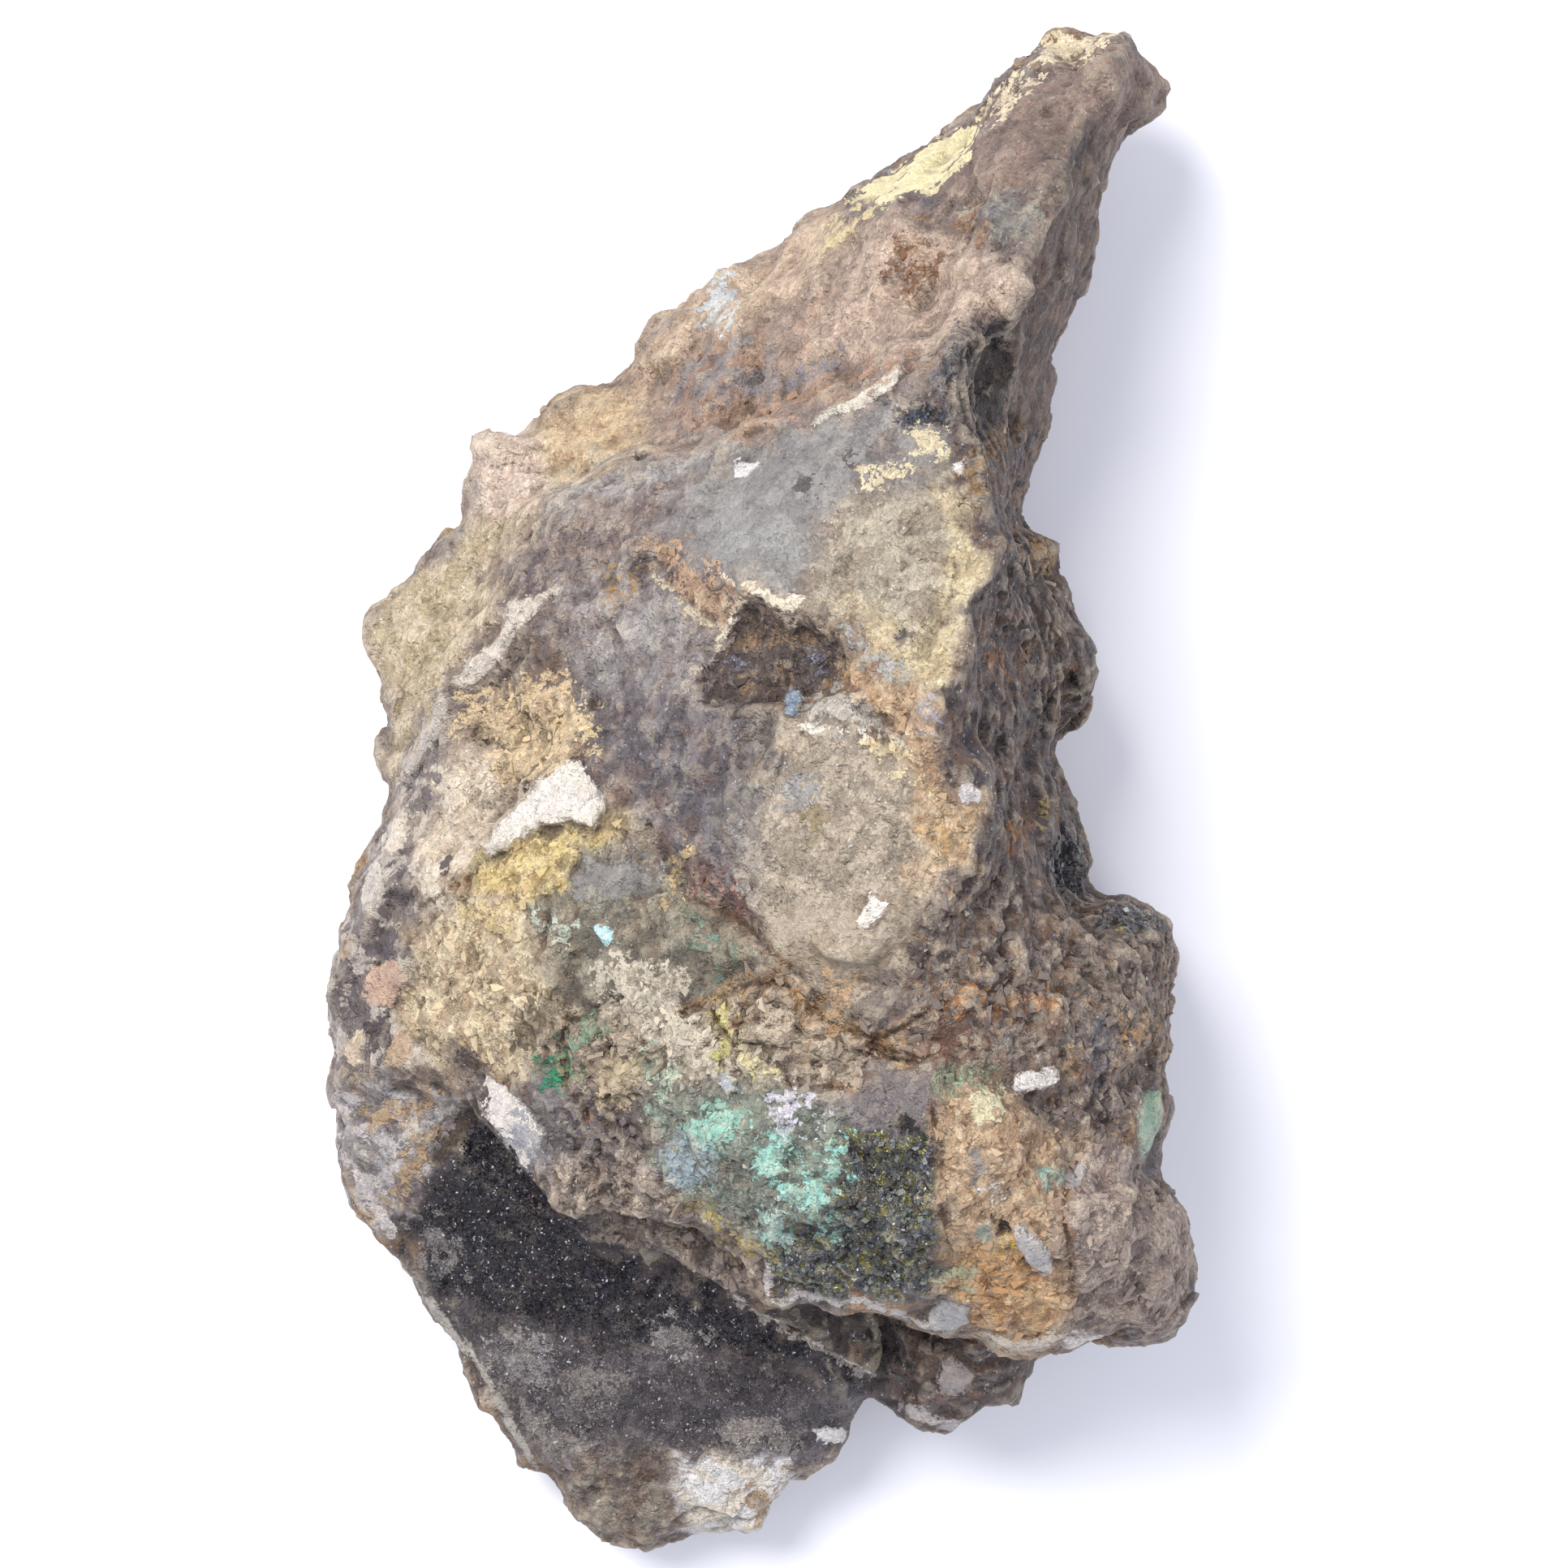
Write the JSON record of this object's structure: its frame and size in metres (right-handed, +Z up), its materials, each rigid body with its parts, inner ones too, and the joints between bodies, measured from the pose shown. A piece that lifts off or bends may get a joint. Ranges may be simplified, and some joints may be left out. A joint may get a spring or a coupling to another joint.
{
  "type": "bournonite mineral specimen",
  "caption": "Irregular hand specimen of bournonite ore: crested vein rock with a tapering arm and a ledge over a drusy quartz plate, lying on its flat broken underside.",
  "frame": {"origin": "middle of the flat underside that the rock rests on, under the top of the crest's lower half", "axes": "+Z up from the resting face, +Y towards the tip of the tapering arm, +X towards the steep rusty flank"},
  "size_m": [0.0729, 0.1304, 0.0491],
  "materials": {
    "vein_rock": "rough, earthy, with glassy quartz and dark metallic patches"
  },
  "bodies": {
    "root": {"bournonite": "vein_rock"}
  },
  "joints": []
}
